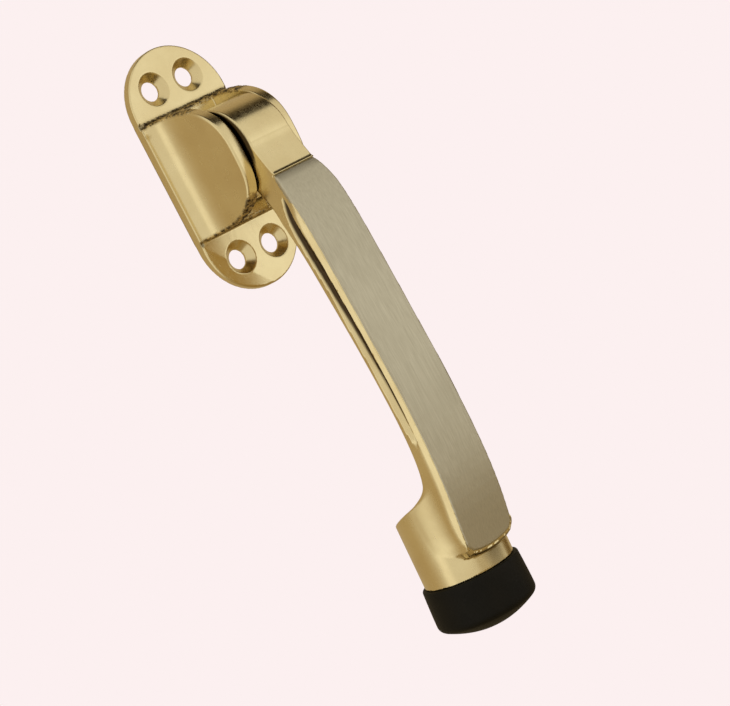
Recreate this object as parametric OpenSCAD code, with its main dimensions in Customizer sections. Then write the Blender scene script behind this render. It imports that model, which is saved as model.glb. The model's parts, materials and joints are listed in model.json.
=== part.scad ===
// Kick-down door stop: a screw plate with a clevis, and a hinged lever with a rubber foot.
// Origin at the centre of the plate's back. +X to the right, +Z up, and -Y out of the door.

/* [Screw plate] */
// Width of the plate
plate_w = 29.8; // [28:0.2:34]
// Length of the plate over its round ends
plate_l = 65; // [63:0.2:76]
// Thickness of the plate
plate_t = 2.5; // [2:0.1:2.6]
// Distance between the screw holes across the plate
hole_dx = 11.4; // [10:0.1:12]
// Distance between the screw holes along the plate
hole_dz = 46.4; // [44:0.2:48]
// Diameter of a screw hole
hole_d = 5; // [4:0.1:5.5]
// Diameter of a countersink at the plate's face
csk_d = 8.7; // [7:0.1:9]

/* [Clevis] */
// Width over the two cheeks
clevis_w = 21; // [20:0.5:24]
// Gap between the two cheeks
clevis_gap = 14.4; // [14.4:0.1:15]
// Length of the cheeks along the plate
clevis_l = 31.6; // [31:0.2:34]
// Height of the cheeks above the back of the plate
clevis_h = 25; // [24.5:0.1:27]
// Height of the concave flare at the foot of each cheek
cove_h = 9; // [6:0.5:12]

/* [Pivot] */
// Height of the pivot above the back of the plate
pivot_n = 15.2; // [15:0.1:16]
// Diameter of the pivot pin
pin_d = 6; // [5:0.5:6]
// Outer diameter of the bush in the hub
bush_d = 8.5; // [8:0.5:9]
// Radius of the lever's hub
hub_r = 12.3; // [12:0.1:12.3]
// Width of the lever's hub
hub_w = 13.5; // [13:0.1:13.5]

/* [Detent] */
// Diameter of the detent ball
ball_d = 3.8; // [3:0.1:4]
// Distance of the ball from the pivot
ball_orbit = 8.4; // [8.2:0.1:8.8]
// Swing of the lever between its two detent dimples
swing = 145; // [120:5:145]

/* [Lever] */
// Greatest width of the bar
bar_w = 18.2; // [17.8:0.1:18.6]
// Thickness of the face strip
strip_t = 1.2; // [0.8:0.1:1.4]
// Width of the bar's rim beside the face strip
strip_rim = 0.8; // [0.5:0.1:1.2]
// Depth of the flute in each side of the bar
flute_depth = 1; // [0.5:0.1:1.2]

/* [Foot] */
// Radius of the socket at the lever's end
socket_r = 11.86; // [11.5:0.02:12.2]
// Angle between the foot's axis and the plate
foot_tilt = 3.5; // [2:0.5:5]
// Radius of the rubber foot
foot_r = 13.2; // [12.8:0.1:13.6]
// Height of the rubber's side wall
foot_side = 9.6; // [7:0.2:10]
// Height of the rubber's domed underside
foot_dome = 5.2; // [3:0.1:6]
// Thread diameter of the foot screw
screw_d = 4; // [3.5:0.1:4.5]

/* [Hidden] */
$fn = 96;
eps = 0.01;
far = 60;

// Clevis: the pin's blind end stops under the skin of the left cheek.
pin_skin = 0.8;
pin_chamfer = 0.4;
pocket_clear = 0.3;
top_bulge = 2.35;
foot_bulge = 3.1;
web_n = plate_t + 2.6;
side_gap = (clevis_gap - hub_w) / 2;
running_clear = 0.04;

// Washers in the two side gaps.
washer_r = 6;
washer_clear = 0.1;
wave_t = 0.2;
wave_rise = 0.1;
wave_count = 3;

// Detent: a blind hole in the hub's left face, parallel to the pin.
ball_angle = 105;
ball_x = -(hub_w / 2 - 0.8);
ball_clear = 0.1;
dimple_deeper = 0.2;
ball_hole_depth = 9;
spring_wire = 0.5;
spring_r = 1.35;
spring_turns = 6;

// The bar's outlines in (distance from the door, height). Smooth curves pass through the points.
front_line = [[30.6, -9.6], [32.8, -16.5], [34.1, -25], [34.9, -38], [35.6, -55], [36.1, -70],
              [35.6, -86], [34.2, -98.5], [31, -113.5]];
under_line = [[22.4, -96.6], [26.6, -93.2], [29, -87.2], [30, -76], [29.7, -60],
              [28.5, -42], [27.2, -28], [24.7, -18], [20.8, -11]];
shoulder_line = [[27.5, -0.2], [28.8, -4.6], [29.9, -8.8]];
neck_z = -9;
shoulder_at = [7.5, -14];
side_line = [[8, -17.5], [8.8, -24], [8.87, -45], [8.9, -75], [9.1, -95], [9.1, -104], [8.3, -110.5]];
end_line = [[7.4, -112.2], [4.4, -113.4], [0, -113.9]];

// The socket's outline from the side, with its sloping top.
socket_top = [[0, -102.2], [33, -93], [33, -130], [0, -130]];

// Side flutes, pointed at both ends.
flute_top = [[29.8, -14.5], [31.2, -25], [32.9, -45], [33.7, -62], [33.7, -77], [32.9, -88]];
flute_bottom = [[32.9, -88], [31.9, -77], [31.6, -62], [30.5, -45], [28.9, -25], [29.8, -14.5]];

// Strip pins along the bar, soldered into the back of the strip.
strip_pin_z = [-22, -60, -98];
strip_pin_n = [33.6, 35.8, 34.2];
strip_pin_r = 1;
strip_pin_l = 3;
strip_pin_sink = 0.6;
strip_top_z = -9.6;

// Foot: heights along the foot's axis, from the socket's rim.
rim_n = 18.25;
rim_z = -116.8;
bore_r = 8;
bore_h = 9.5;
thread_h = 16;
socket_h = 30;
stem_clear = 0.1;
recess_r = 5.2;
recess_h = foot_side - 0.8;
washer_t = 0.8;
head_r = 3.6;
head_h = 2.2;
slot_w = 1;
slot_depth = 1.1;
edge_r = 0.6;
tread_r = 2;
foot_flare = 0.35;
dome_r = foot_r - tread_r / 2;

function arc_points(c, r, from, to, steps) =
    [for (i = [0:steps]) let (a = from + (to - from) * i / steps) c + r * [cos(a), sin(a)]];

// A point of the smooth curve between b and c, with neighbours a and d.
function between(a, b, c, d, t) =
    b + t * (c - a) / 2 + t * t * (2 * a - 5 * b + 4 * c - d) / 2
      + t * t * t * (3 * b - 3 * c + d - a) / 2;

function smooth(p, steps) = let (last = len(p) - 1)
    [for (i = [0:last - 1]) for (k = [0:steps - 1])
        between(p[max(i - 1, 0)], p[i], p[i + 1], p[min(i + 2, last)], k / steps),
     p[last]];

function shifted(p, by) = [for (q = p) q + by];

// Half length of a cheek at a height n above the plate's back: a full, blunt arch.
function cheek_half(n, bulge) = let (u = (n - plate_t) / (clevis_h - plate_t))
    clevis_l / 2 * pow(max(0, 1 - pow(u, bulge)), 1 / bulge);

// Height of the rubber's domed underside at a radius r.
function dome_h(r) = -foot_side - tread_r * sin(60) - (foot_dome - tread_r * sin(60))
    * (1 - pow(r / dome_r, 2));

// A point at a radius and an angle about the pivot; 0 points out of the door, 90 points up.
function about_pivot(r, a) = [pivot_n + r * cos(a), r * sin(a)];

// Draws an outline given in (distance from the door, height) and gives it a width along X.
module side_shape(width) rotate([90, 0, -90]) linear_extrude(width, center = true) children();

// Draws an outline given in (X, height) and extends it from n0 to n1 out of the door.
module front_shape(n0, n1) translate([0, -n0, 0]) rotate([90, 0, 0])
    linear_extrude(n1 - n0) children();

// A round bar along X at a place about the pivot.
module cross_bar(r, x0, x1, orbit = 0, angle = 0) {
    at = about_pivot(orbit, angle);
    translate([x0, -at[0], at[1]]) rotate([0, 90, 0]) cylinder(h = x1 - x0, r = r);
}

// Moves what is drawn about +Z onto the foot's axis, with zero at the socket's rim.
module on_foot_axis() translate([0, -rim_n, rim_z]) rotate([foot_tilt, 0, 0]) children();

// Turns what is drawn about +Z onto the pivot's axis, where an angle of 0 points out of the door.
module on_pivot_axis() translate([0, -pivot_n, 0]) rotate([0, 90, 0]) rotate([0, 0, -90])
    children();

module plate_outline() {
    end = plate_l / 2 - plate_w / 2;
    square([plate_w, 2 * end], center = true);
    for (side = [-1, 1]) translate([0, side * end]) circle(d = plate_w);
}

module screw_hole() {
    sink = (csk_d - hole_d) / 2;
    rotate([90, 0, 0]) {
        translate([0, 0, -eps]) cylinder(h = plate_t + 1, d = hole_d);
        translate([0, 0, plate_t - sink]) cylinder(h = sink + eps, d1 = hole_d, d2 = csk_d + 2 * eps);
    }
}

// Both cheeks seen from the end, with their concave flares and the slot between them.
module clevis_section() {
    x0 = clevis_w / 2;
    cove_w = plate_w / 2 - x0;
    flare = [for (i = [0:10]) let (a = 9 * i)
        [plate_w / 2 - cove_w * sin(a), plate_t + cove_h * (1 - cos(a))]];
    right = concat([[plate_w / 2, 0]], flare, [[x0, clevis_h + 1]]);
    left = [for (i = [len(right) - 1:-1:0]) [-right[i][0], right[i][1]]];
    polygon(concat(right, left));
}

module cheek_outline() {
    steps = 32;
    heights = [for (i = [0:steps]) plate_t + (clevis_h - plate_t) * sin(90 * i / steps)];
    polygon(concat([[plate_t / 2, clevis_l / 2]],
        [for (n = heights) [n, cheek_half(n, top_bulge)]],
        [for (i = [steps - 1:-1:0]) [heights[i], -cheek_half(heights[i], foot_bulge)]],
        [[plate_t / 2, -clevis_l / 2]]));
}

// The slot that the hub turns in: round where the hub turns, and open above the low end webs.
module hub_slot() {
    cross_bar(hub_r + pocket_clear, -clevis_gap / 2, clevis_gap / 2);
    front_shape(web_n, far) square([clevis_gap, far], center = true);
}

// The ball's track in the left cheek, with a deeper dimple at each end.
module ball_track() {
    r = ball_d / 2 + ball_clear;
    translate([ball_x, 0, 0]) on_pivot_axis()
        rotate([0, 0, ball_angle - 2]) rotate_extrude(angle = swing + 2)
            translate([ball_orbit, 0]) circle(r = r, $fn = 48);
    for (a = [ball_angle - 2, ball_angle + swing]) {
        at = about_pivot(ball_orbit, a);
        translate([ball_x, -at[0], at[1]]) sphere(r = r, $fn = 48);
        translate([ball_x - dimple_deeper, -at[0], at[1]]) sphere(r = r, $fn = 48);
    }
}

module base_casting() color("#d9c27e") difference() {
    union() {
        front_shape(0, plate_t) plate_outline();
        intersection() {
            side_shape(plate_w) cheek_outline();
            translate([0, 0, -clevis_l / 2]) linear_extrude(clevis_l) mirror([0, 1])
                clevis_section();
        }
    }
    hub_slot();
    for (x = [-hole_dx, hole_dx] / 2, z = [-hole_dz, hole_dz] / 2) translate([x, 0, z])
        screw_hole();
    cross_bar(pin_d / 2, -(clevis_w / 2 - pin_skin), clevis_w / 2 + 1);
    ball_track();
}

module pivot_pin() color("#b8b8b4") {
    end = -(clevis_w / 2 - pin_skin);
    cross_bar(pin_d / 2, end + pin_chamfer, clevis_w / 2);
    translate([end, -pivot_n, 0]) rotate([0, 90, 0])
        cylinder(h = pin_chamfer, r1 = pin_d / 2 - pin_chamfer, r2 = pin_d / 2);
}

module thrust_washer() color("#e8e6df") {
    x1 = -hub_w / 2 - 0.02;
    difference() {
        cross_bar(washer_r, x1 - side_gap + 0.04, x1);
        cross_bar(pin_d / 2 + washer_clear, x1 - side_gap, x1 + 1);
    }
}

// A thin steel ring bent into equal waves around the pin.
module wave_washer() color("#9a9a98") {
    steps = 48;
    radii = [pin_d / 2 + washer_clear, washer_r];
    points = [for (i = [0:steps - 1]) let (a = 360 * i / steps, x = wave_rise * sin(wave_count * a))
        for (r = radii, t = [-wave_t, wave_t] / 2) [r * cos(a), r * sin(a), x + t]];
    faces = [for (i = [0:steps - 1]) let (p = 4 * i, q = 4 * ((i + 1) % steps))
        each [[p, q, q + 2], [p, q + 2, p + 2], [p + 1, p + 3, q + 3], [p + 1, q + 3, q + 1],
              [p, p + 1, q + 1], [p, q + 1, q], [p + 2, q + 2, q + 3], [p + 2, q + 3, p + 3]]];
    translate([hub_w / 2 + side_gap / 2, 0, 0]) on_pivot_axis() polyhedron(points, faces);
}

// The bar seen from the front: straight at the neck, fuller in the middle, round at the end.
module bar_front(margin = 0) {
    widest = 2 * max([for (q = side_line) q[0]]);
    half = [for (q = concat([[hub_w / 2, 0], [hub_w / 2, neck_z], shoulder_at], smooth(side_line, 2),
                            smooth(end_line, 2)))
        [q[0] * (bar_w / widest) * (1 - 2 * margin / bar_w), q[1] + margin]];
    polygon(concat(half, [for (i = [len(half) - 2:-1:0]) [-half[i][0], half[i][1]]]));
}

module bar_outline() polygon(concat([[pivot_n, 0]], shoulder_line, smooth(front_line, 3),
    [[22.4, -113.5]], smooth(under_line, 3)));

module flute_outline() polygon(concat(smooth(flute_top, 4), smooth(flute_bottom, 4)));

// The face strip's outline from the side, with its front moved out by a margin.
module strip_side(out) {
    line = smooth(front_line, 3);
    polygon(concat(shifted(line, [out, 0]),
        [for (i = [len(line) - 1:-1:0]) line[i] - [strip_t, 0]]));
}

module strip_front() intersection() {
    bar_front(strip_rim);
    translate([-far / 2, -far * 2]) square([far, far * 2 + strip_top_z]);
}

// The face strip, or with a margin the pocket that it lies in.
module strip_shape(out = 0) intersection() {
    side_shape(far) strip_side(out);
    front_shape(far / 3, far) strip_front();
}

module foot_socket() intersection() {
    on_foot_axis() cylinder(h = socket_h, r = socket_r);
    side_shape(far) polygon(socket_top);
}

module lever_arm() color("#d9c27e") difference() {
    union() {
        cross_bar(hub_r, -hub_w / 2, hub_w / 2);
        intersection() {
            side_shape(far) bar_outline();
            front_shape(0, far) bar_front();
        }
        foot_socket();
    }
    strip_shape(2);
    for (side = [-1, 1]) translate([side * (far / 2 + bar_w / 2 - flute_depth), 0, 0])
        side_shape(far) flute_outline();
    cross_bar(bush_d / 2, -hub_w, hub_w);
    cross_bar(ball_d / 2 + ball_clear / 2, -hub_w, -hub_w / 2 + ball_hole_depth, ball_orbit,
              ball_angle);
    strip_pin_set();
    on_foot_axis() translate([0, 0, -1]) {
        cylinder(h = bore_h + 1, r = bore_r);
        cylinder(h = thread_h + 1, d = screw_d);
    }
}

module hub_bush() color("#a8763e") difference() {
    cross_bar(bush_d / 2, -hub_w / 2, hub_w / 2);
    cross_bar(pin_d / 2 + running_clear, -hub_w, hub_w);
}

module detent_ball() color("#c8c8c8") {
    at = about_pivot(ball_orbit, ball_angle);
    translate([ball_x, -at[0], at[1]]) sphere(d = ball_d);
}

// A helix of round wire, in the blind hole behind the ball.
module detent_spring() color("#8d8f92") {
    at = about_pivot(ball_orbit, ball_angle);
    sides = 8;
    steps = 16 * spring_turns;
    x0 = ball_x + ball_d / 2 + 0.3;
    x1 = -hub_w / 2 + ball_hole_depth - spring_wire / 2 - 0.1;
    points = [for (i = [0:steps], k = [0:sides - 1])
        let (a = 360 * spring_turns * i / steps, b = 360 * k / sides,
             r = spring_r + spring_wire / 2 * cos(b))
        [x0 + (x1 - x0) * i / steps + spring_wire / 2 * sin(b), r * cos(a), r * sin(a)]];
    walls = [for (i = [0:steps - 1], k = [0:sides - 1])
        let (p = sides * i + k, q = sides * i + (k + 1) % sides)
        each [[p, q, q + sides], [p, q + sides, p + sides]]];
    ends = [[for (k = [sides - 1:-1:0]) k], [for (k = [0:sides - 1]) sides * steps + k]];
    translate([0, -at[0], at[1]]) polyhedron(points, concat(walls, ends));
}

module face_strip() color("#a9a692") difference() {
    strip_shape();
    strip_pin_set();
}

module strip_pin_set() for (i = [0:len(strip_pin_z) - 1]) {
    n1 = strip_pin_n[i] - strip_t + strip_pin_sink;
    translate([0, -n1 + strip_pin_l + strip_pin_sink, strip_pin_z[i]]) rotate([90, 0, 0])
        cylinder(h = strip_pin_l + strip_pin_sink, r = strip_pin_r, $fn = 48);
}

module strip_pins() color("#b8b8b4") strip_pin_set();

module rubber_foot() color("#1d1b18") on_foot_axis() rotate_extrude() polygon(concat(
    [[screw_d / 2 + 0.2, bore_h - 0.2], [bore_r - stem_clear, bore_h - 0.2],
     [bore_r - stem_clear, -0.02]],
    arc_points([foot_r - foot_flare - edge_r, -edge_r - 0.02], edge_r, 90, 0, 5),
    arc_points([foot_r - tread_r, -foot_side], tread_r, 0, -60, 6),
    [for (i = [1:8]) let (r = dome_r + (recess_r - dome_r) * i / 8) [r, dome_h(r)]],
    [[recess_r, -recess_h], [screw_d / 2 + 0.2, -recess_h]]));

module foot_washer() color("#b8b8b4") on_foot_axis() translate([0, 0, -recess_h - washer_t])
    difference() {
        cylinder(h = washer_t, r = recess_r - 0.4);
        translate([0, 0, -1]) cylinder(h = washer_t + 2, d = screw_d + 0.4);
    }

module foot_screw() color("#b8b8b4") on_foot_axis() {
    top = -recess_h - washer_t;
    difference() {
        union() {
            translate([0, 0, top]) cylinder(h = thread_h - 1 - top, d = screw_d);
            translate([0, 0, top - head_h]) cylinder(h = head_h, r = head_r);
        }
        translate([0, 0, top - head_h]) cube([3 * head_r, slot_w, 2 * slot_depth], center = true);
    }
}

base_casting();
pivot_pin();
thrust_washer();
wave_washer();
lever_arm();
hub_bush();
detent_ball();
detent_spring();
face_strip();
strip_pins();
rubber_foot();
foot_washer();
foot_screw();
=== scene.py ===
"""Looks of the kick-down door stop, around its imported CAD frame.

The two brass castings, the face strip and the rubber foot are meshed from signed distances in
millimetres, written in (x, n, z): x to the right, n out of the door and z up the door. The pieces
inside the hub keep their CAD meshes.
"""

import json

import bpy
import numpy as np
from mathutils import Matrix, Vector


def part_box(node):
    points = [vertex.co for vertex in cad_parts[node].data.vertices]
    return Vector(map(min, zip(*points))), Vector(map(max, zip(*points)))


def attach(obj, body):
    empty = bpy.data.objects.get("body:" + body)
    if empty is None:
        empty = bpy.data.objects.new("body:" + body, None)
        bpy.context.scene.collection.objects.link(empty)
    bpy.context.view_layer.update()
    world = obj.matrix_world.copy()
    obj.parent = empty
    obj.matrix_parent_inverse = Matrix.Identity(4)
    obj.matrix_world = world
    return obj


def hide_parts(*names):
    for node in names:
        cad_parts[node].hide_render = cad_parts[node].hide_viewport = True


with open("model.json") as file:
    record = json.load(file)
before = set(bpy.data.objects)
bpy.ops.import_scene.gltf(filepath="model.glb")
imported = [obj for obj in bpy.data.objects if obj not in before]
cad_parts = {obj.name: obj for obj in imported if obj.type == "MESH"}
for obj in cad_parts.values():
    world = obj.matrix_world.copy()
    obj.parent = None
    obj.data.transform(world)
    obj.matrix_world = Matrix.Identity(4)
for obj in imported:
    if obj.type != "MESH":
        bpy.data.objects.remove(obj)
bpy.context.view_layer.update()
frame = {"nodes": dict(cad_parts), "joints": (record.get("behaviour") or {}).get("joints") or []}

MM = 0.001

# ---------------------------------------------------------------- sizes read from the frame


def node_box(node):
    """The corners of a CAD node as (x, n, z) in millimetres."""
    lo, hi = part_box(node)
    return np.array([lo.x, -hi.y, lo.z]) / MM, np.array([hi.x, -lo.y, hi.z]) / MM


base_lo, base_hi = node_box("base_casting")
lever_lo, lever_hi = node_box("lever_arm")
foot_lo, foot_hi = node_box("rubber_foot")
pin_lo, pin_hi = node_box("pivot_pin")

PIVOT_N = -frame["joints"][0]["pos_m"][1] / MM
PLATE_HALF_W = base_hi[0]
PLATE_HALF_L = base_hi[2]
CLEVIS_H = base_hi[1]
PIN_R = (pin_hi[2] - pin_lo[2]) / 2
HUB_R = lever_hi[2]

# Screw plate and clevis.
PLATE_T = 2.5
HOLE_DX, HOLE_DZ = 11.4, 46.4
HOLE_R, SINK_R = 2.5, 4.35
CHEEK_OUT = 10.5
CHEEK_IN = 7.2
CHEEK_HALF_L = 15.8
COVE_H = 9.0
TOP_BULGE, FOOT_BULGE = 2.35, 3.1
WEB_N = 5.1
SLOT_R = HUB_R + 0.3
CAST_LUMPS = 0.24

# A small round notch at each end of the foot of the clevis.
NOTCH_AT, NOTCH_R = (14.75, 2.9, 16.2), 0.75

# A shallow facet ground into the plate's lower left: its slope, where it faces and where it starts.
FACET_SLOPE, FACET_FACES, FACET_AT = (0.99, 0.15), (-0.72, -0.69), 22.3

# Detent ball in the hub's left face, and its track in the left cheek.
BALL_X, BALL_ORBIT, BALL_ANGLE, TRACK_R = -5.95, 8.4, 105, 2.02
BALL_HOLE_R, BALL_HOLE_DEPTH = 1.95, 9
TRACK_FROM, TRACK_TO = BALL_ANGLE - 2, BALL_ANGLE + 145

# Lever.
HUB_HALF_W = 6.75
BUSH_R = 4.25
STRIP_TOP_Z = -9.6
STRIP_T = 1.2
STRIP_EDGE = 0.05
STRIP_SEAT = 0.22
NOSE_DROP, NOSE_L = 0.6, 2.6
BEVEL_NORMAL = (0.91, 0.41)
FLUTE_DEPTH = 1.0
RIM_N, RIM_Z, FOOT_TILT = 18.25, -116.8, 3.5
SOCKET_R, SOCKET_TOP_Z, SOCKET_TOP_SLOPE = 11.86, -102.2, (9.2, -33)
BORE_R, BORE_H, THREAD_R, THREAD_H = 8.0, 9.5, 2.02, 16.0

# Outlines of the bar and its strip, as (n, z) seen from the side or (x, z) seen from the front.
FRONT_LINE = [(30.6, -9.6), (32.8, -16.5), (34.1, -25), (34.9, -38), (35.6, -55), (36.1, -70),
              (35.6, -86), (34.2, -98.5), (31, -113.5)]
UNDER_LINE = [(22.4, -96.6), (26.6, -93.2), (29, -87.2), (30, -76), (29.7, -60), (28.5, -42),
              (27.2, -28), (24.7, -18), (20.8, -11)]
SHOULDER_LINE = [(27.5, 0), (27.75, -2), (28.6, -4.9), (29.9, -8.8)]
# The middle of the bar's thickness: the edges in front of it are sharper than those behind it.
MIDDLE_Z, MIDDLE_N = [-113, -96, -76, -42, -18, -9], [29, 31, 33, 31.5, 28, 25]
SIDE_LINE = [(8, -17.5), (8.8, -24), (8.87, -45), (8.9, -75), (9.1, -95), (9.1, -104), (8.3, -110.5)]
END_LINE = [(7.4, -112.2), (4.4, -113.4), (0, -113.9)]
STRIP_LINE = [(8, -17.5), (8.05, -45), (8.1, -75), (8.3, -95), (8.3, -104), (8, -110.5)]
# The flute's upper edge, the foot of its steep wall, and its lower edge.
FLUTE_TOP = [(29.9, -14.2), (31, -18), (31.8, -24), (32.8, -32), (33.3, -40), (33.9, -50), (34.4, -62),
             (34.6, -70), (34.3, -78), (33.9, -84)]
FLUTE_BOTTOM = [(29.9, -14.2), (29.1, -18.5), (29.4, -24), (30.2, -32), (31.3, -42), (31.9, -50),
                (32.7, -61), (33.1, -68), (33.4, -76), (33.9, -84)]
FLUTE_LIP = [(29.9, -14.2), (28.9, -18.5), (28.9, -24), (29.7, -32), (30.8, -41), (31, -50), (31.6, -61),
             (31.8, -68), (31.9, -76), (32.9, -84)]


def spline(points, steps):
    """A Catmull-Rom curve through the points."""
    p = np.array(points, float)
    p = np.vstack([2 * p[0] - p[1], p, 2 * p[-1] - p[-2]])
    t = np.linspace(0, 1, steps, endpoint=False)[:, None]
    out = [b + t * (c - a) / 2 + t**2 * (2 * a - 5 * b + 4 * c - d) / 2
           + t**3 * (3 * b - 3 * c + d - a) / 2
           for a, b, c, d in zip(p, p[1:], p[2:], p[3:])]
    return np.vstack(out + [p[-2:-1]])


# ---------------------------------------------------------------- signed distances


def round_max(a, b, r):
    """Where both solids are, with its convex edge rounded to radius r."""
    return np.minimum(np.maximum(a, b), -r) + np.hypot(np.maximum(a + r, 0), np.maximum(b + r, 0))


def round_min(a, b, r):
    """Where either solid is, with a fillet of radius r in the corner."""
    return -round_max(-a, -b, r)


def polygon(points, u, v):
    """Signed distance to a closed outline, negative inside."""
    p = np.array(points, float)
    shape = np.broadcast(u, v).shape
    best = np.full(shape, 1e9)
    inside = np.zeros(shape, bool)
    for (x0, y0), (x1, y1) in zip(p, np.roll(p, -1, axis=0)):
        ex, ey = x1 - x0, y1 - y0
        length2 = ex * ex + ey * ey
        if length2 < 1e-12:
            continue
        t = np.clip(((u - x0) * ex + (v - y0) * ey) / length2, 0, 1)
        best = np.minimum(best, (u - x0 - t * ex)**2 + (v - y0 - t * ey)**2)
        if y0 != y1:
            inside ^= ((v >= y0) != (v >= y1)) & (u < x0 + (v - y0) * ex / ey)
    return np.where(inside, -1, 1) * np.sqrt(best)


def table_2d(points, lo, hi, step=0.2):
    """A fast look-up of an outline's signed distance."""
    a = np.arange(lo[0], hi[0] + step, step)
    b = np.arange(lo[1], hi[1] + step, step)
    d = polygon(points, *np.meshgrid(a, b, indexing="ij"))

    def look_up(u, v):
        s = np.clip((u - a[0]) / step, 0, len(a) - 1.001)
        t = np.clip((v - b[0]) / step, 0, len(b) - 1.001)
        i, j = s.astype(int), t.astype(int)
        s, t = s - i, t - j
        return ((d[i, j] * (1 - s) + d[i + 1, j] * s) * (1 - t)
                + (d[i, j + 1] * (1 - s) + d[i + 1, j + 1] * s) * t)
    return look_up


def step_between(v, a, b):
    """0 at a, 1 at b, smooth between."""
    t = np.clip((v - a) / (b - a), 0, 1)
    return t * t * (3 - 2 * t)


def ripple(x, n, z):
    """Uneven as-cast skin, from -1 to 1."""
    return (np.sin(2.9 * x + 1.3 * z + 0.4) * np.sin(2.3 * n - 1.7 * x + 1.1)
            + 0.7 * np.sin(4.7 * x - 2.1 * n + 2.6 * z) * np.sin(5.3 * n + 3.1 * z)
            + 0.5 * np.sin(8.3 * x + 4.1 * z) * np.sin(7.1 * n - 5.9 * z + 0.8)) / 2.2


def arch(n, z):
    """Distance to the cheeks' outline from the side: a full arch, blunter at its lower end."""
    bulge = np.where(z > 0, TOP_BULGE, FOOT_BULGE)
    u = np.maximum(n - PLATE_T, 1e-6) / (CLEVIS_H - PLATE_T)
    w = np.maximum(np.abs(z), 1e-6) / CHEEK_HALF_L
    s = (u**bulge + w**bulge)**(1 / bulge)
    slope = np.hypot((u / s)**(bulge - 1) / (CLEVIS_H - PLATE_T), (w / s)**(bulge - 1) / CHEEK_HALF_L)
    return (s - 1) / slope


def cast_skin(x, n, z):
    """1 on the clevis's end walls, which are left as cast, and 0 on polished faces."""
    wall = step_between(arch(n, z), -0.9, -0.3) * step_between(n, 2.5, 2.9)
    upper = step_between(z, 13.0, 14.0) * step_between(z, 18.5, 17.5)
    lower = step_between(z, -10.5, -12) * step_between(z, -17.2, -16.6)
    return wall * np.maximum(upper, lower)


def notch_distance(x, n, z):
    """Distance to the middle of the nearest notch."""
    return np.sqrt((np.abs(x) - NOTCH_AT[0])**2 + (n - NOTCH_AT[1])**2 + (np.abs(z) - NOTCH_AT[2])**2)


def hub_cylinder(n, z, r):
    return np.hypot(n - PIVOT_N, z) - r


def plate(x, n, z):
    """The screw plate, without its holes."""
    straight = PLATE_HALF_L - PLATE_HALF_W
    outline = np.hypot(x, np.maximum(np.abs(z) - straight, 0)) - PLATE_HALF_W
    past = FACET_FACES[0] * x + FACET_FACES[1] * z - FACET_AT
    facet = FACET_SLOPE[0] * (n - PLATE_T) + FACET_SLOPE[1] * past
    face = np.maximum(n - PLATE_T, facet)
    body = round_max(outline, face, 0.4)
    return round_max(body, -n, 0.2)


def cheeks(x, n, z):
    """The clevis: two cheeks with concave flares at the foot, and the slot between them."""
    side = np.abs(x)
    cove_w = PLATE_HALF_W - CHEEK_OUT
    cove_n = PLATE_T + COVE_H
    qx = (side - PLATE_HALF_W) / cove_w
    qn = np.minimum(n - cove_n, -1e-6) / COVE_H
    f = np.maximum(np.hypot(qx, qn), 1e-6)
    cove = (1 - f) * f / np.maximum(np.hypot(qx / cove_w, qn / COVE_H), 1e-6)
    outer = np.where(n < cove_n, np.maximum(cove, side - PLATE_HALF_W), side - CHEEK_OUT)

    body = round_max(outer, arch(n, z), 0.7)
    slot = np.maximum(side - CHEEK_IN, np.minimum(hub_cylinder(n, z, SLOT_R), WEB_N - n))
    return round_max(round_max(body, -slot, 0.45), -n, 0.2)


def detent_track(x, n, z):
    """The ball's round-bottomed track about the pivot."""
    angle = np.degrees(np.arctan2(z, n - PIVOT_N)) % 360
    ring = np.hypot(hub_cylinder(n, z, BALL_ORBIT), x - BALL_X) - TRACK_R
    ends = np.full(np.shape(x), 1e9)
    for a in np.radians([TRACK_FROM, TRACK_TO]):
        at_n, at_z = PIVOT_N + BALL_ORBIT * np.cos(a), BALL_ORBIT * np.sin(a)
        ends = np.minimum(ends, np.sqrt((x - BALL_X)**2 + (n - at_n)**2 + (z - at_z)**2) - TRACK_R)
    return np.where((angle > TRACK_FROM) & (angle < TRACK_TO), ring, ends)


def base_sdf(x, n, z):
    """The base casting: plate and clevis, with holes, notches, the pin's bore and the ball's track."""
    fillet = 0.5 + 0.9 * step_between(z, 12, 14)
    d = round_min(plate(x, n, z), cheeks(x, n, z), fillet)
    d = d + CAST_LUMPS * cast_skin(x, n, z) * ripple(x, n, z)
    to_hole = np.hypot(np.abs(x) - HOLE_DX / 2, np.abs(z) - HOLE_DZ / 2)
    floor = PLATE_T - (SINK_R - HOLE_R)
    cone = np.maximum((to_hole - HOLE_R - (n - floor)) * 0.7071, to_hole - SINK_R - 0.4)
    hole = np.minimum(to_hole - HOLE_R, cone)
    d = round_max(d, -hole, 0.15)
    d = round_max(d, NOTCH_R - notch_distance(x, n, z), 0.1)
    bore = np.maximum(hub_cylinder(n, z, PIN_R + 0.02), pin_lo[0] - 0.02 - x)
    d = np.maximum(d, -bore)
    return np.maximum(d, -detent_track(x, n, z))


def plan_outline(neck, line):
    """A closed outline from the front: the hub's width, a widening neck, one long side, mirrored."""
    side = np.vstack([[(HUB_HALF_W, 2), (HUB_HALF_W, -9)], neck, spline(line, 3), spline(END_LINE, 3)])
    return np.vstack([side, side[-2::-1] * [-1, 1]])


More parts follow.
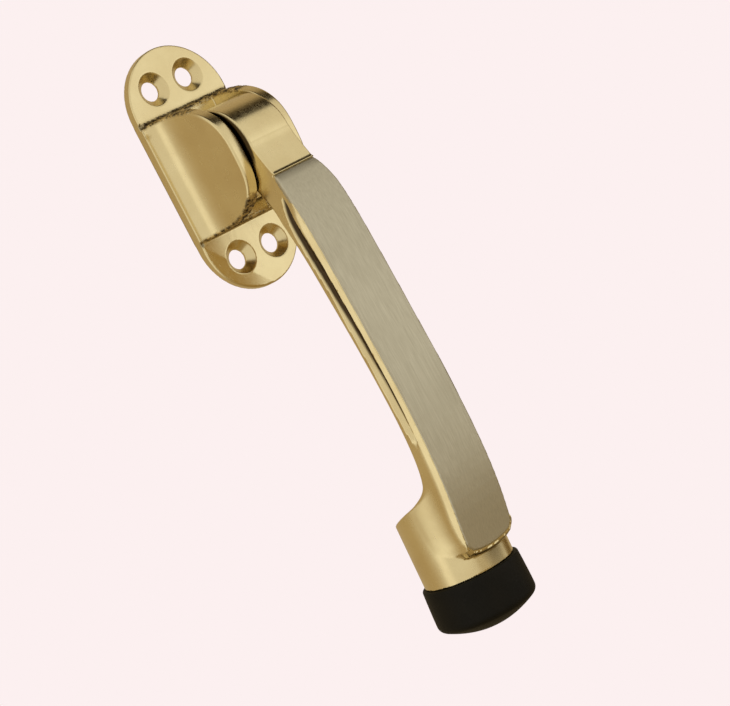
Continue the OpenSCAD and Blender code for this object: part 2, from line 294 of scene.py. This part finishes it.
front_curve = spline(FRONT_LINE, 5)
under_curve = spline(UNDER_LINE, 5)
shoulder_curve = spline(SHOULDER_LINE, 4)
side_outline = np.vstack([[(PIVOT_N, 0)], shoulder_curve, front_curve, [(22.4, -113.5)], under_curve])
front_solid = np.vstack([[(0, 0)], shoulder_curve, front_curve,
                         front_curve[-1:] + (front_curve[-1:] - front_curve[-2:-1]) * 4, [(0, -140)]])
LOOK_LO, LOOK_HI = (-2, -125), (42, 18)
side_field = table_2d(side_outline, LOOK_LO, LOOK_HI)
face_field = table_2d(front_solid, LOOK_LO, LOOK_HI)
PLAN_LO, PLAN_HI = (-14, -125), (14, 18)
plan_field = table_2d(plan_outline([(7.05, -11.5), (7.5, -14)], SIDE_LINE), PLAN_LO, PLAN_HI)
strip_field = table_2d(plan_outline([(7.1, -11.5), (7.6, -14)], STRIP_LINE), PLAN_LO, PLAN_HI)


def flute_edge(line, z):
    """Distance from the door of one long edge of the flute."""
    curve = spline(line, 4)[::-1]
    return np.interp(z, curve[:, 1], curve[:, 0])


def flute(n, z):
    """Depth of the flute from 0 to 1: a broad lower wall and a steep upper one."""
    ends = step_between(z, -14.2, -16) * step_between(z, -84, -79)
    rise = np.clip((n - flute_edge(FLUTE_LIP, z)) / 1.25, 0, 1)
    return ends * rise * step_between(flute_edge(FLUTE_TOP, z) - n, 0, 0.4)


def foot_axes(n, z):
    """Distance from the foot's axis plane and height above the socket's rim."""
    a = np.radians(FOOT_TILT)
    dn, dz = n - RIM_N, z - RIM_Z
    return dn * np.cos(a) - dz * np.sin(a), dn * np.sin(a) + dz * np.cos(a)


def strip_plan(x, z):
    """Distance to the strip's outline from the front, with its rounded upper corners."""
    end = 1.2 * step_between(z, -109, -113)
    return round_max(strip_field(x, z) + STRIP_EDGE + end, z - STRIP_TOP_Z, 1.3)


def strip_nose(z):
    """How far the strip's face falls back at its upper end, where it is rounded over."""
    return NOSE_DROP * np.clip((z - STRIP_TOP_Z + NOSE_L) / NOSE_L, 0, 1)**2


def side_bevel(x, n, z):
    """The plane that bevels the bar's long edges, beside the strip."""
    beside = strip_field(x, z) + STRIP_EDGE + 0.06
    return beside * BEVEL_NORMAL[0] + face_field(n, z) * BEVEL_NORMAL[1]


def lever_sdf(x, n, z):
    """The lever: hub, bar and socket, with the strip's seat, the flutes and the bores."""
    side = np.abs(x)
    hub = round_max(hub_cylinder(n, z, HUB_R), side - HUB_HALF_W, 0.55)

    middle = np.interp(z, MIDDLE_Z, MIDDLE_N)
    front = step_between(n, middle - 1, middle + 1)
    edge = 1.5 - front * (1.1 - 1.5 * step_between(z, -109, -113))
    carve = FLUTE_DEPTH * flute(n, z)
    bar = round_max(side_field(n, z), plan_field(x, z) + carve, edge)
    bevel = side_bevel(x, n, z) - 3 * step_between(z, -16, -10) - 3 * step_between(z, -108, -113)
    bar = round_max(bar, bevel, 0.25)

    across, up = foot_axes(n, z)
    slope = np.array(SOCKET_TOP_SLOPE) / np.hypot(*SOCKET_TOP_SLOPE)
    lid = -(slope[0] * n + slope[1] * (z - SOCKET_TOP_Z))
    wall = np.hypot(x, across) - SOCKET_R
    socket = round_max(wall, np.maximum(lid, -up), 0.35)

    blend = 0.35 + 2.2 * step_between(z, -113, -108)
    d = round_min(bar, socket, blend)
    d = round_min(d, hub, 0.06)

    seat = np.maximum(z - STRIP_TOP_Z - 0.02, -face_field(n, z) - STRIP_SEAT - strip_nose(z))
    seat = np.maximum(seat, strip_plan(x, z) - 3 * step_between(z, -106, -100))
    d = round_max(d, -seat, 0.08)
    d = np.maximum(d, -hub_cylinder(n, z, BUSH_R))
    at = np.radians(BALL_ANGLE)
    ball_n, ball_z = PIVOT_N + BALL_ORBIT * np.cos(at), BALL_ORBIT * np.sin(at)
    ball_hole = np.hypot(n - ball_n, z - ball_z) - BALL_HOLE_R
    d = np.maximum(d, -np.maximum(ball_hole, x + HUB_HALF_W - BALL_HOLE_DEPTH))
    bore = np.maximum(np.hypot(x, across) - BORE_R, up - BORE_H)
    thread = np.maximum(np.hypot(x, across) - THREAD_R, up - THREAD_H)
    return np.maximum(d, -np.minimum(bore, thread))


def strip_sdf(x, n, z):
    """The face strip, with bevelled long edges and a rounded upper end."""
    face = face_field(n, z)
    d = round_max(strip_plan(x, z - 0.45), face - 0.1 + strip_nose(z), 0.6)
    d = round_max(d, side_bevel(x, n, z) - 0.05 - 3 * step_between(z, -16, -10), 0.12)
    return np.maximum(d, -face - STRIP_T)


# ---------------------------------------------------------------- meshing


CORNERS = np.array([(i, j, k) for i in (0, 1) for j in (0, 1) for k in (0, 1)])
CELL_EDGES = [(a, b) for a in range(8) for b in range(a + 1, 8)
              if np.abs(CORNERS[a] - CORNERS[b]).sum() == 1]


def gradient(sdf, p, h=0.04):
    g = np.empty_like(p)
    for k in range(3):
        e = np.zeros(3)
        e[k] = h
        g[:, k] = (sdf(*(p + e).T) - sdf(*(p - e).T)) / (2 * h)
    return g


def surface(sdf, lo_in, hi_in, step):
    """Surface nets: points on the zero level of sdf inside a box, quads and outward normals."""
    axes = [np.arange(a - 1.5 * step, b + 2.5 * step, step) for a, b in zip(lo_in, hi_in)]
    v = sdf(*np.meshgrid(*axes, indexing="ij"))
    inside = v < 0
    cells = tuple(n - 1 for n in v.shape)
    count = np.zeros(cells, int)
    for i, j, k in CORNERS:
        count += inside[i:i + cells[0], j:j + cells[1], k:k + cells[2]]
    at = np.argwhere((count > 0) & (count < 8))
    index = np.full(cells, -1)
    index[tuple(at.T)] = np.arange(len(at))
    corner_v = np.stack([v[tuple((at + c).T)] for c in CORNERS], 1)
    total, hits = np.zeros((len(at), 3)), np.zeros(len(at))
    for a, b in CELL_EDGES:
        va, vb = corner_v[:, a], corner_v[:, b]
        cut = (va < 0) != (vb < 0)
        t = np.where(cut, va / np.where(cut, va - vb, 1), 0)[:, None]
        total += cut[:, None] * (CORNERS[a] + t * (CORNERS[b] - CORNERS[a]))
        hits += cut
    p = np.array([a[0] for a in axes]) + (at + total / hits[:, None]) * step
    start = p.copy()
    for _ in range(4):
        g = gradient(sdf, p)
        move = -(sdf(*p.T) / np.maximum((g**2).sum(1), 0.2))[:, None] * g
        p = p + np.clip(move, -step / 2, step / 2)
        p = start + np.clip(p - start, -step * 0.8, step * 0.8)
    quads = []
    for axis in range(3):
        u, w = [k for k in range(3) if k != axis]
        low = np.take(inside, range(v.shape[axis] - 1), axis)
        high = np.take(inside, range(1, v.shape[axis]), axis)
        e = np.argwhere(low != high)
        e = e[(e[:, u] > 0) & (e[:, w] > 0) & (e[:, u] < v.shape[u] - 1) & (e[:, w] < v.shape[w] - 1)]
        outward = low[tuple(e.T)]
        ring = []
        for du, dw in ((0, 0), (-1, 0), (-1, -1), (0, -1)):
            c = e.copy()
            c[:, u] += du
            c[:, w] += dw
            ring.append(index[tuple(c.T)])
        q = np.stack(ring, 1)
        flip = outward if axis != 1 else ~outward
        q[~flip] = q[~flip][:, ::-1]
        quads.append(q)
    p = np.clip(p, lo_in, hi_in)
    g = gradient(sdf, p, 0.06)
    return p, np.vstack(quads), g / np.linalg.norm(g, axis=1)[:, None]


def to_metres(p):
    """Points or directions from (x, n, z) in millimetres to the frame in metres."""
    return np.stack([p[:, 0], -p[:, 1], p[:, 2]], 1) * MM


def cast_mesh(name, sdf, lo, hi, step, fields=()):
    """An object from a signed distance, with its normals and any named fields over its points."""
    p, quads, normals = surface(sdf, np.array(lo), np.array(hi), step)
    mesh = bpy.data.meshes.new(name)
    mesh.from_pydata(to_metres(p).tolist(), [], quads[:, ::-1].tolist())
    mesh.polygons.foreach_set("use_smooth", np.ones(len(mesh.polygons), bool))
    mesh.normals_split_custom_set_from_vertices((to_metres(normals) / MM).tolist())
    for field, values in fields:
        layer = mesh.attributes.new(field, "FLOAT", "POINT")
        layer.data.foreach_set("value", values(*p.T).astype(np.float32))
    return linked(name, mesh)


def linked(name, mesh):
    obj = bpy.data.objects.new(name, mesh)
    bpy.context.scene.collection.objects.link(obj)
    return obj


def lathe(name, profile, place, segments=128):
    """A closed profile of (radius, height) turned about the +Z axis, then placed."""
    rings = len(profile)
    a = np.linspace(0, 2 * np.pi, segments, endpoint=False)
    points = [(r * np.cos(t) * MM, r * np.sin(t) * MM, h * MM) for r, h in profile for t in a]
    faces = [(i * segments + k, i * segments + (k + 1) % segments,
              (i + 1) % rings * segments + (k + 1) % segments, (i + 1) % rings * segments + k)
             for i in range(rings) for k in range(segments)]
    mesh = bpy.data.meshes.new(name)
    mesh.from_pydata(points, [], faces)
    mesh.transform(place)
    mesh.polygons.foreach_set("use_smooth", np.ones(len(faces), bool))
    return linked(name, mesh)


# ---------------------------------------------------------------- materials


def linear(r, g, b):
    """A colour given in sRGB from 0 to 255, as linear light."""
    c = np.array([r, g, b]) / 255
    return (*np.where(c < 0.04045, c / 12.92, ((c + 0.055) / 1.055)**2.4), 1)


class Nodes:
    """Short calls for building a material's node tree."""

    def __init__(self, name):
        self.material = bpy.data.materials.new(name)
        self.material.use_nodes = True
        self.tree = self.material.node_tree
        self.shader = self.tree.nodes["Principled BSDF"]

    def add(self, kind, inputs=None, **settings):
        node = self.tree.nodes.new("ShaderNode" + kind)
        for key, value in settings.items():
            setattr(node, key, value)
        for key, value in (inputs or {}).items():
            if isinstance(value, bpy.types.NodeSocket):
                self.tree.links.new(value, node.inputs[key])
            else:
                node.inputs[key].default_value = value
        return node

    def set(self, **inputs):
        for key, value in inputs.items():
            socket = self.shader.inputs[key.replace("_", " ")]
            if isinstance(value, bpy.types.NodeSocket):
                self.tree.links.new(value, socket)
            else:
                socket.default_value = value

    def place(self, scale=(1, 1, 1)):
        """The object's own coordinates, in metres, stretched by scale."""
        coords = self.add("TexCoord").outputs["Object"]
        return self.add("Mapping", {"Vector": coords, "Scale": scale}).outputs["Vector"]

    def noise(self, scale, vector=None, detail=3.0, roughness=0.55):
        return self.add("TexNoise", {"Vector": vector or self.place(), "Scale": scale,
                                     "Detail": detail, "Roughness": roughness}).outputs["Fac"]

    def ramp(self, value, low, high, out_low=0.0, out_high=1.0):
        return self.add("MapRange", {"Value": value, "From Min": low, "From Max": high,
                                     "To Min": out_low, "To Max": out_high}).outputs["Result"]

    def math(self, kind, a, b):
        return self.add("Math", {0: a, 1: b}, operation=kind).outputs["Value"]

    def field(self, name):
        return self.add("Attribute", attribute_name=name).outputs["Fac"]

    def bump(self, height, strength, distance):
        return self.add("Bump", {"Height": height, "Strength": strength,
                                 "Distance": distance}).outputs["Normal"]


def colour_mix(nodes, factor, a, b):
    """A colour mix, with its colour sockets found by name."""
    node = nodes.add("Mix", data_type="RGBA")
    for socket, value in (("Factor_Float", factor), ("A_Color", a), ("B_Color", b)):
        target = next(s for s in node.inputs if s.identifier == socket)
        if isinstance(value, bpy.types.NodeSocket):
            nodes.tree.links.new(value, target)
        else:
            target.default_value = value
    return next(s for s in node.outputs if s.identifier == "Result_Color")


def brass(name, bright, deep, fields=True):
    """Cast brass, polished and lacquered, with as-cast walls and painted shade darkening its slot,
    flutes and other recesses.
    """
    m = Nodes(name)
    cloud = m.ramp(m.noise(90.0, detail=4.0), 0.35, 0.65)
    colour = colour_mix(m, cloud, bright, deep)
    swirl = m.noise(900.0, m.place((1, 1, 0.35)), detail=4.0)
    polish = m.ramp(swirl, 0.3, 0.7, 0.2, 0.28)
    height = m.math("MULTIPLY", swirl, 0.25)
    if fields:
        cast, painted_shade = m.field("cast"), m.field("painted_shade")
        grain = m.noise(700.0, detail=5.0, roughness=0.7)
        spots = m.ramp(grain, 0.43, 0.56)
        cast_colour = colour_mix(m, spots, linear(62, 43, 16), linear(210, 184, 122))
        colour = colour_mix(m, cast, colour, cast_colour)
        # Painted shade: the recesses and gaps are mixed towards dark brown.
        colour = colour_mix(m, painted_shade, colour, linear(52, 33, 8))
        polish = m.math("ADD", polish, m.math("MULTIPLY", cast, 0.3))
        height = m.math("ADD", height, m.math("MULTIPLY", m.math("MULTIPLY", grain, cast), 8.0))
    m.set(Base_Color=colour, Metallic=1.0, Roughness=polish,
          Normal=m.bump(height, 0.35, 0.00006))
    m.set(Coat_Weight=0.25, Coat_Roughness=0.08)
    return m.material


def satin(name, bright, deep):
    """Satin nickel, brushed along the bar."""
    m = Nodes(name)
    brush = m.noise(260.0, m.place((14, 14, 0.35)), detail=5.0, roughness=0.7)
    cloud = m.ramp(m.noise(45.0), 0.3, 0.7)
    colour = colour_mix(m, cloud, bright, deep)
    lines = m.ramp(brush, 0.3, 0.7, 0.0, 0.3)
    colour = colour_mix(m, lines, colour, linear(132, 126, 104))
    m.set(Base_Color=colour, Metallic=1.0, Roughness=m.ramp(brush, 0.25, 0.75, 0.42, 0.52),
          Normal=m.bump(brush, 0.25, 0.00004))
    return m.material


def rubber(name):
    """Moulded black rubber with a fine matte grain and a cloudy tone."""
    m = Nodes(name)
    grain = m.noise(2600.0, detail=4.0)
    cloud = m.ramp(m.noise(110.0, detail=4.0), 0.35, 0.7)
    colour = colour_mix(m, cloud, linear(14, 13, 9), linear(22, 20, 14))
    m.set(Base_Color=colour, Roughness=m.ramp(grain, 0.3, 0.7, 0.5, 0.68),
          Normal=m.bump(grain, 0.3, 0.00005))
    m.set(Specular_IOR_Level=0.14)
    return m.material


def turned(name, colour, worn, metallic, rough):
    """A small turned or moulded part: fine rings of tool marks and a little wear."""
    m = Nodes(name)
    marks = m.noise(1400.0, m.place((3, 1, 1)), detail=4.0)
    wear = m.ramp(m.noise(420.0, detail=4.0), 0.4, 0.65)
    m.set(Base_Color=colour_mix(m, wear, colour, worn), Metallic=metallic,
          Roughness=m.ramp(marks, 0.3, 0.7, rough, rough + 0.12),
          Normal=m.bump(marks, 0.25, 0.00003))
    return m.material


BRASS_LIGHT, BRASS_DEEP = linear(232, 216, 168), linear(224, 206, 157)
brass_material = brass("polished_brass_look", BRASS_LIGHT, BRASS_DEEP)
pin_material = brass("brass_pin_look", linear(230, 210, 152), linear(205, 180, 120), fields=False)
strip_material = satin("satin_nickel_look", linear(206, 200, 179), linear(198, 192, 171))
rubber_material = rubber("black_rubber_look")
steel_material = turned("plain_steel_look", linear(188, 188, 186), linear(150, 150, 148), 1.0, 0.24)
spring_material = turned("spring_steel_look", linear(120, 122, 126), linear(90, 92, 96), 1.0, 0.3)
bronze_material = turned("bronze_look", linear(176, 124, 74), linear(140, 94, 52), 1.0, 0.34)
nylon_material = turned("nylon_look", linear(232, 230, 220), linear(214, 211, 198), 0.0, 0.42)

# ---------------------------------------------------------------- pieces

# How finely each casting is meshed, in millimetres.
BASE_STEP = 0.34
LEVER_STEP = 0.38
STRIP_STEP = 0.3


def painted_shade_of_base(x, n, z):
    """How strongly painted shade darkens a place: the slot, the notches and the line along the clevis's
    foot.
    """
    slot = step_between(np.abs(x), CHEEK_IN + 0.15, CHEEK_IN - 0.1) * step_between(
        np.abs(z), 13.2, 12.2) * step_between(n, 1.2, 1.8)
    notch = step_between(notch_distance(x, n, z), 1.0, 0.6)
    foot_line = cast_skin(x, n, z) * step_between(n, 3.5, 2.7)
    return np.maximum(np.maximum(slot * 0.85, notch), foot_line * 0.6)


def painted_shade_of_lever(x, n, z):
    """How strongly painted shade darkens a place: the flutes, the hub's sides and the strip's lower end.
    """
    shade = step_between(n, flute_edge(FLUTE_BOTTOM, z) - 0.3, flute_edge(FLUTE_BOTTOM, z) + 0.2)
    shade = shade * step_between(flute(n, z), 0.1, 0.5) * step_between(np.abs(x), 6.6, 7.2)
    cheek_side = step_between(np.abs(x), HUB_HALF_W - 0.4, HUB_HALF_W - 0.15) * step_between(
        hub_cylinder(n, z, HUB_R), -0.15, -0.5) * step_between(z, -7.5, -3)
    end = step_between(z, -111.2, -112.6) * step_between(n, 29.5, 30.5) * step_between(
        strip_plan(x, z), 0.0, 0.25)
    return np.maximum(np.maximum(shade * 0.97, cheek_side * 0.97), end * 0.7)


# Besides the cast skin, each casting carries a field of painted shade for its slot, notches, flutes and
# gaps.
base_piece = cast_mesh("base_cast", base_sdf, base_lo, base_hi, BASE_STEP,
                       [("cast", cast_skin), ("painted_shade", painted_shade_of_base)])
lever_piece = cast_mesh("lever_cast", lever_sdf, lever_lo, lever_hi, LEVER_STEP,
                        [("cast", lambda x, n, z: 0 * x), ("painted_shade", painted_shade_of_lever)])
strip_lo, strip_hi = node_box("face_strip")
strip_piece = cast_mesh("strip_inlay", strip_sdf, strip_lo, strip_hi, STRIP_STEP)

# Rubber foot: stem, side that widens a little, rounded tread, domed underside and screw recess.
FOOT_R = (foot_hi[0] - foot_lo[0]) / 2
FOOT_SIDE, FOOT_DOME, FOOT_FLARE = 9.6, 5.2, 0.35
EDGE_R, TREAD_R, RECESS_R, SCREW_R = 0.6, 2.0, 5.2, 2.2


def arc(r, h, radius, start, end, steps):
    """Points of an arc in (radius, height), with its angles in degrees."""
    a = np.radians(np.linspace(start, end, steps))
    return [(r + radius * np.cos(t), h + radius * np.sin(t)) for t in a]


def foot_profile():
    dome_edge = FOOT_R - TREAD_R / 2
    dome_top = -FOOT_SIDE - TREAD_R * np.sin(np.radians(60))
    depth = FOOT_DOME + dome_top + FOOT_SIDE
    radii = np.linspace(dome_edge, RECESS_R + 0.3, 14)[1:]
    dome = [(r, dome_top - depth * (1 - (r / dome_edge)**2)) for r in radii]
    stem_r = BORE_R - 0.1
    recess = -FOOT_SIDE + 0.8
    top_r = FOOT_R - FOOT_FLARE - EDGE_R
    side = [(FOOT_R - FOOT_FLARE * (1 - t)**1.5, -EDGE_R - (FOOT_SIDE - EDGE_R) * t)
            for t in np.linspace(0.1, 0.95, 8)]
    return ([(SCREW_R, BORE_H - 0.2), (stem_r - 0.3, BORE_H - 0.2)]
            + arc(stem_r - 0.3, BORE_H - 0.5, 0.3, 75, 0, 4)
            + [(stem_r, 0.2), (stem_r + 0.05, -0.02), (stem_r + 0.6, -0.02), (top_r - 0.4, -0.02)]
            + arc(top_r, -EDGE_R - 0.02, EDGE_R, 90, 0, 7) + side
            + arc(FOOT_R - TREAD_R, -FOOT_SIDE, TREAD_R, 0, -60, 9) + dome
            + arc(RECESS_R + 0.3, dome[-1][1] + 0.3, 0.3, -90, -180, 4)[1:]
            + [(RECESS_R, recess + 0.2), (RECESS_R - 0.2, recess), (SCREW_R, recess)])


foot_place = (Matrix.Translation((0, -RIM_N * MM, RIM_Z * MM))
              @ Matrix.Rotation(np.radians(FOOT_TILT), 4, "X"))
foot_piece = lathe("foot_rubber", foot_profile()[::-1], foot_place)

for piece, body, node, slot, look in (
        (base_piece, "base", "base_casting", "polished_brass", brass_material),
        (lever_piece, "lever", "lever_arm", "polished_brass", brass_material),
        (strip_piece, "lever", "face_strip", "satin_nickel", strip_material),
        (foot_piece, "lever", "rubber_foot", "black_rubber", rubber_material)):
    piece.data.materials.append(look)
    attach(piece, body)
    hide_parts(node)

for node, look, width in (
        ("pivot_pin", pin_material, 0.12), ("thrust_washer", nylon_material, 0.08),
        ("wave_washer", spring_material, 0), ("hub_bush", bronze_material, 0.15),
        ("detent_ball", steel_material, 0), ("detent_spring", spring_material, 0),
        ("strip_pins", steel_material, 0.1), ("foot_washer", steel_material, 0.12),
        ("foot_screw", steel_material, 0.15)):
    obj = frame["nodes"][node]
    obj.data.materials.clear()
    obj.data.materials.append(look)
    if width:
        soft = obj.modifiers.new("soft_edges", "BEVEL")
        soft.width = width * MM
        soft.segments = 2
        soft.limit_method = "ANGLE"
        soft.angle_limit = np.radians(40)

# ---------------------------------------------------------------- studio

PALE = linear(252, 240, 240)


def glow(name, near, far, start, end, axis):
    """Light that turns from one colour to another along one axis of the card."""
    m = Nodes(name)
    m.tree.nodes.remove(m.shader)
    across = m.add("SeparateXYZ", {"Vector": m.add("TexCoord").outputs["Generated"]}).outputs[axis]
    colour = colour_mix(m, m.ramp(across, start, end), near, far)
    emission = m.add("Emission", {"Color": colour})
    output = m.tree.nodes["Material Output"]
    m.tree.links.new(emission.outputs["Emission"], output.inputs["Surface"])
    return m.material


def card(name, centre, right, up, near, far=None, start=0.0, end=1.0, axis="X"):
    """A flat studio card, from its centre, its two half sides and its colours; lights but isn't seen."""
    c, r, u = Vector(centre), Vector(right), Vector(up)
    mesh = bpy.data.meshes.new(name)
    mesh.from_pydata([c - r - u, c + r - u, c + r + u, c - r + u], [], [(0, 1, 2, 3)])
    mesh.materials.append(glow(name + "_look", near, far or near, start, end, axis))
    obj = linked(name, mesh)
    obj.visible_camera = False
    return obj


ROOM = (0.80, 0.75, 0.66, 1)
WALL = linear(186, 166, 130)
TABLE = linear(160, 138, 98)

world = bpy.data.worlds.new("studio")
bpy.context.scene.world = world
world.use_nodes = True
sky = world.node_tree
seen = sky.nodes["Background"]
seen.inputs["Color"].default_value = PALE
lit = sky.nodes.new("ShaderNodeBackground")
lit.inputs["Color"].default_value = ROOM
choose = sky.nodes.new("ShaderNodeMixShader")
path = sky.nodes.new("ShaderNodeLightPath")
sky.links.new(path.outputs["Is Camera Ray"], choose.inputs[0])
sky.links.new(lit.outputs[0], choose.inputs[1])
sky.links.new(seen.outputs[0], choose.inputs[2])
sky.links.new(choose.outputs[0], sky.nodes["World Output"].inputs["Surface"])

floor = card("floor", (0, 0, -0.45), (6, 0, 0), (0, 6, 0), PALE)
floor.visible_camera = True
floor.visible_glossy = floor.visible_diffuse = False
# A warm brown wall behind the door, paler to the left; a dark strip of ceiling; a bright window at the
# lower right that fades upwards; a brown wall at the right, a pale one at the left, and a table below.
card("wall_card", (0, 0.5, 1.2), (3, 0, 0), (0, 0, 4), ROOM, WALL, 0.1, 0.42)
card("dark_card", (0.5, -0.05, 0.62), (0, 0.296, 0), (0.5, 0, 0), linear(30, 20, 6), WALL, 0.5, 0.9,
     axis="Y")
card("key_card", (0.85, -1.06, 0), (0.5, 0.4, 0), (0, 0, 0.5), (1.08, 1.05, 0.98, 1), ROOM, 0.36, 0.95,
     axis="Z")
card("right_card", (1.3, 0, 0), (0, 0.36, 0), (0, 0, 1.2), linear(110, 86, 48))
card("left_card", (-1.3, 0.03, 0), (0, 0.22, 0), (0, 0, 1), (1.04, 0.99, 0.89, 1))
card("table_card", (0.45, -0.5, -0.42), (0.75, 0, 0), (0, 0.75, 0), TABLE)

# ---------------------------------------------------------------- camera

EYE = Vector((-0.39309, -0.51279, -0.02299))
RIGHT = Vector((0.677017, -0.573806, -0.460863))
UP = Vector((0.390971, -0.250123, 0.885765))
BACK = Vector((-0.623530, -0.779862, 0.055004))

camera = bpy.data.objects.new("camera", bpy.data.cameras.new("camera"))
bpy.context.scene.collection.objects.link(camera)
camera.data.sensor_width = 36
camera.data.lens = 127.94
camera.data.clip_start, camera.data.clip_end = 0.01, 50
camera.matrix_world = Matrix.Translation(EYE) @ Matrix((RIGHT, UP, BACK)).transposed().to_4x4()
bpy.context.scene.camera = camera
bpy.context.scene.view_settings.view_transform = "Standard"

bpy.context.view_layer.update()
